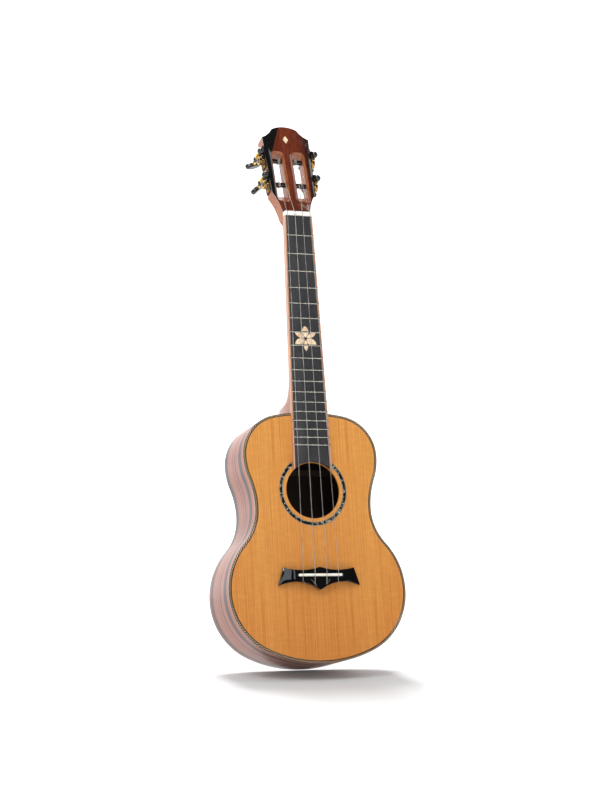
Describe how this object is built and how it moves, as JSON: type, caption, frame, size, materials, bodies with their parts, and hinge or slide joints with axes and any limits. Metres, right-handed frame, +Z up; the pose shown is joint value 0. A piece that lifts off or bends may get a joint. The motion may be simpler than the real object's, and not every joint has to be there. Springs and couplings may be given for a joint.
{
  "type": "tenor ukulele",
  "caption": "Small four-string lute with a waisted wooden body, a fretted neck and a slotted headstock with geared side tuners.",
  "frame": {"origin": "lowest point of the tail on the centreline, in the plane of the soundboard's face", "axes": "+Z up the neck, -Y out of the soundboard, +X to the viewer's right (treble side)"},
  "size_m": [0.216, 0.0884, 0.657],
  "materials": {
    "cedar_top": "satin lacquer over fine straight grain",
    "striped_rosewood": "gloss lacquer over grey-striped pinkish brown wood",
    "rope_binding": "gloss, twisted light and dark strips",
    "dark_binding": "gloss",
    "pale_wood_strip": "satin",
    "shell": "polished shell inlay",
    "line_inlay": "gloss, black and white lines",
    "mahogany": "satin lacquer",
    "headstock_veneer": "gloss lacquer",
    "cream_inlay": "polished",
    "ebony": "fine open grain, oiled",
    "black_lacquer": "high gloss",
    "nickel": "polished",
    "bone": "polished bone",
    "nylon": "smooth and slightly clear",
    "black_metal": "gloss black",
    "black_plastic": "polished",
    "dark_steel": "satin black",
    "brass": "polished gold tone",
    "spruce_inner": "raw sanded wood"
  },
  "bodies": {
    "instrument": {"back_binding": "dark_binding", "back_braces": "spruce_inner", "back_lining_bass": "spruce_inner", "back_lining_treble": "spruce_inner", "back_plate": "striped_rosewood", "bridge": "black_lacquer", "bridge_plate": "spruce_inner", "fan_braces": "spruce_inner", "fretboard": "ebony", "fretboard_binding_bass": "pale_wood_strip", "fretboard_binding_treble": "pale_wood_strip", "fretboard_flower": "cream_inlay", "frets": "nickel", "head_block": "spruce_inner", "headstock_diamond": "cream_inlay", "headstock_veneer": "headstock_veneer", "heel_cap": "mahogany", "lower_top_brace": "spruce_inner", "neck": "mahogany", "nut": "bone", "rosette_lines": "line_inlay", "rosette_shell_ring": "shell", "saddle": "bone", "side_bass": "striped_rosewood", "side_treble": "striped_rosewood", "soundboard": "cedar_top", "string_a": "nylon", "string_c": "nylon", "string_e": "nylon", "string_g": "nylon", "tail_block": "spruce_inner", "top_binding": "rope_binding", "top_lining_bass": "spruce_inner", "top_lining_treble": "spruce_inner", "tuner_plate_bass_lower": "black_metal", "tuner_plate_bass_upper": "black_metal", "tuner_plate_treble_lower": "black_metal", "tuner_plate_treble_upper": "black_metal", "tuner_screws": "brass", "upper_top_brace": "spruce_inner"},
    "knob_bass_lower": {"worm_bass_lower": "brass", "button_bass_lower": "black_plastic"},
    "spool_bass_lower": {"roller_bass_lower": "black_metal", "gear_bass_lower": "brass", "gear_screw_bass_lower": "dark_steel"},
    "knob_bass_upper": {"worm_bass_upper": "brass", "button_bass_upper": "black_plastic"},
    "spool_bass_upper": {"roller_bass_upper": "black_metal", "gear_bass_upper": "brass", "gear_screw_bass_upper": "dark_steel"},
    "knob_treble_upper": {"worm_treble_upper": "brass", "button_treble_upper": "black_plastic"},
    "spool_treble_upper": {"roller_treble_upper": "black_metal", "gear_treble_upper": "brass", "gear_screw_treble_upper": "dark_steel"},
    "knob_treble_lower": {"worm_treble_lower": "brass", "button_treble_lower": "black_plastic"},
    "spool_treble_lower": {"roller_treble_lower": "black_metal", "gear_treble_lower": "brass", "gear_screw_treble_lower": "dark_steel"}
  },
  "joints": [
    {"name": "knob_turn_bass_lower", "type": "hinge", "parent": "instrument", "child": "knob_bass_lower", "pos_m": [-0.0335, 0.01997, 0.58489], "axis": [0, 0.9724, -0.2334], "continuous": true},
    {"name": "roller_turn_bass_lower", "type": "hinge", "parent": "instrument", "child": "spool_bass_lower", "pos_m": [-0.03323, 0.0181, 0.57711], "axis": [-0.9994, -0.008, -0.0332], "continuous": true},
    {"name": "knob_turn_bass_upper", "type": "hinge", "parent": "instrument", "child": "knob_bass_upper", "pos_m": [-0.03467, 0.0279, 0.61795], "axis": [0, 0.9724, -0.2334], "continuous": true},
    {"name": "roller_turn_bass_upper", "type": "hinge", "parent": "instrument", "child": "spool_bass_upper", "pos_m": [-0.03439, 0.02604, 0.61017], "axis": [-0.9994, -0.008, -0.0332], "continuous": true},
    {"name": "knob_turn_treble_upper", "type": "hinge", "parent": "instrument", "child": "knob_treble_upper", "pos_m": [0.03467, 0.0279, 0.61795], "axis": [0, 0.9724, -0.2334], "continuous": true},
    {"name": "roller_turn_treble_upper", "type": "hinge", "parent": "instrument", "child": "spool_treble_upper", "pos_m": [0.03439, 0.02604, 0.61017], "axis": [0.9994, -0.008, -0.0332], "continuous": true},
    {"name": "knob_turn_treble_lower", "type": "hinge", "parent": "instrument", "child": "knob_treble_lower", "pos_m": [0.0335, 0.01997, 0.58489], "axis": [0, 0.9724, -0.2334], "continuous": true},
    {"name": "roller_turn_treble_lower", "type": "hinge", "parent": "instrument", "child": "spool_treble_lower", "pos_m": [0.03323, 0.0181, 0.57711], "axis": [0.9994, -0.008, -0.0332], "continuous": true}
  ],
  "couplings": [
    {"joint": "roller_turn_bass_lower", "follows": "knob_turn_bass_lower", "ratio": 0.071429},
    {"joint": "roller_turn_bass_upper", "follows": "knob_turn_bass_upper", "ratio": 0.071429},
    {"joint": "roller_turn_treble_upper", "follows": "knob_turn_treble_upper", "ratio": 0.071429},
    {"joint": "roller_turn_treble_lower", "follows": "knob_turn_treble_lower", "ratio": 0.071429}
  ]
}
